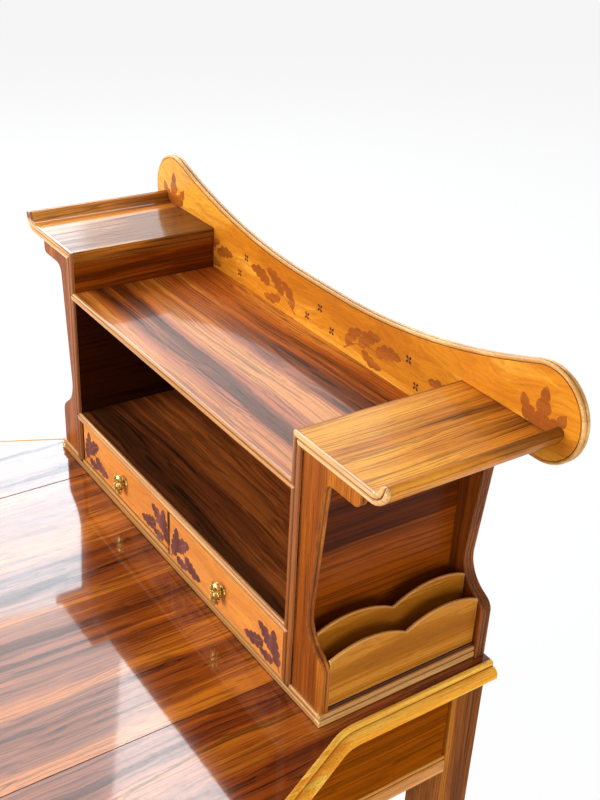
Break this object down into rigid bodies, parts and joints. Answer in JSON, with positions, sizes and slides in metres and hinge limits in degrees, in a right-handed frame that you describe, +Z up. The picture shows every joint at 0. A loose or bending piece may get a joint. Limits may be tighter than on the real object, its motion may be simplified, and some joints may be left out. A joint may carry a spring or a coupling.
{
  "type": "bonheur du jour",
  "caption": "Lady's writing desk with a flared moulded top, sliding writing leaf, frieze drawer and a raised gallery with drawers, letter racks and winged shelves.",
  "frame": {"origin": "on the floor, below the middle of the table in width and depth", "axes": "+Z up, the front faces -Y, +X to the right of someone who faces the front"},
  "size_m": [0.972, 0.65, 1.1995],
  "materials": {
    "leaf_rosewood": "french polished",
    "board_rosewood": "french polished",
    "wing_rosewood": "french polished",
    "side_rosewood": "french polished",
    "shelf_rosewood": "french polished",
    "inner_rosewood": "french polished",
    "standard_walnut": "french polished",
    "leg_walnut": "french polished",
    "apron_rosewood": "french polished",
    "rail_walnut": "french polished",
    "base_walnut": "french polished",
    "reed_walnut": "french polished",
    "bead_walnut": "french polished",
    "panel_bead_walnut": "french polished",
    "rack_walnut": "french polished",
    "fillet_walnut": "french polished",
    "moulding_maple": "french polished",
    "front_satinwood": "french polished",
    "panel_satinwood": "french polished",
    "drawer_oak": "waxed bare wood",
    "pull_brass": "polished"
  },
  "bodies": {
    "desk": {"top_board_left": "board_rosewood", "top_board_right": "board_rosewood", "wing_left": "wing_rosewood", "wing_right": "wing_rosewood", "box_side_left": "side_rosewood", "box_side_right": "side_rosewood", "centre_shelf": "shelf_rosewood", "drawer_shelf": "inner_rosewood", "box_back": "inner_rosewood", "drawer_divider": "inner_rosewood", "front_standard_left": "standard_walnut", "front_standard_right": "standard_walnut", "back_standard_left": "standard_walnut", "back_standard_right": "standard_walnut", "front_leg_left": "leg_walnut", "front_leg_right": "leg_walnut", "back_leg_left": "leg_walnut", "back_leg_right": "leg_walnut", "side_apron_left": "apron_rosewood", "side_apron_right": "apron_rosewood", "front_rail_upper": "rail_walnut", "front_rail_lower": "rail_walnut", "back_apron": "rail_walnut", "top_back_strip": "rail_walnut", "gallery_base": "base_walnut", "edge_reed_left": "reed_walnut", "edge_reed_right": "reed_walnut", "centre_shelf_edge": "reed_walnut", "drawer_shelf_edge": "reed_walnut", "apron_bead_left": "bead_walnut", "apron_bead_right": "bead_walnut", "back_panel_bead": "panel_bead_walnut", "rack_inner_left": "rack_walnut", "rack_inner_right": "rack_walnut", "rack_outer_left": "rack_walnut", "rack_outer_right": "rack_walnut", "rack_fillets": "fillet_walnut", "edge_moulding_left": "moulding_maple", "edge_moulding_right": "moulding_maple", "back_panel": "panel_satinwood", "drawer_runners": "drawer_oak", "drawer_kickers": "drawer_oak"},
    "leaf": {"writing_leaf": "leaf_rosewood", "edge_moulding_front": "moulding_maple", "leaf_stop": "drawer_oak"},
    "small_drawer_left": {"small_drawer_left_front": "front_satinwood", "small_drawer_left_sides": "drawer_oak", "small_drawer_left_back": "drawer_oak", "small_drawer_left_bottom": "drawer_oak", "small_drawer_left_pull": "pull_brass"},
    "small_drawer_right": {"small_drawer_right_front": "front_satinwood", "small_drawer_right_sides": "drawer_oak", "small_drawer_right_back": "drawer_oak", "small_drawer_right_bottom": "drawer_oak", "small_drawer_right_pull": "pull_brass"},
    "frieze_drawer": {"frieze_drawer_front": "front_satinwood", "frieze_drawer_sides": "drawer_oak", "frieze_drawer_back": "drawer_oak", "frieze_drawer_bottom": "drawer_oak", "frieze_drawer_pull": "pull_brass"}
  },
  "joints": [
    {"name": "leaf_slide", "type": "slide", "parent": "desk", "child": "leaf", "axis": [0, -1, 0], "range_m": [0, 0.2]},
    {"name": "small_drawer_left_slide", "type": "slide", "parent": "desk", "child": "small_drawer_left", "axis": [0, -1, 0], "range_m": [0, 0.165]},
    {"name": "small_drawer_right_slide", "type": "slide", "parent": "desk", "child": "small_drawer_right", "axis": [0, -1, 0], "range_m": [-0.005, 0.16]},
    {"name": "frieze_drawer_slide", "type": "slide", "parent": "desk", "child": "frieze_drawer", "axis": [0, -1, 0], "range_m": [0, 0.36]}
  ]
}
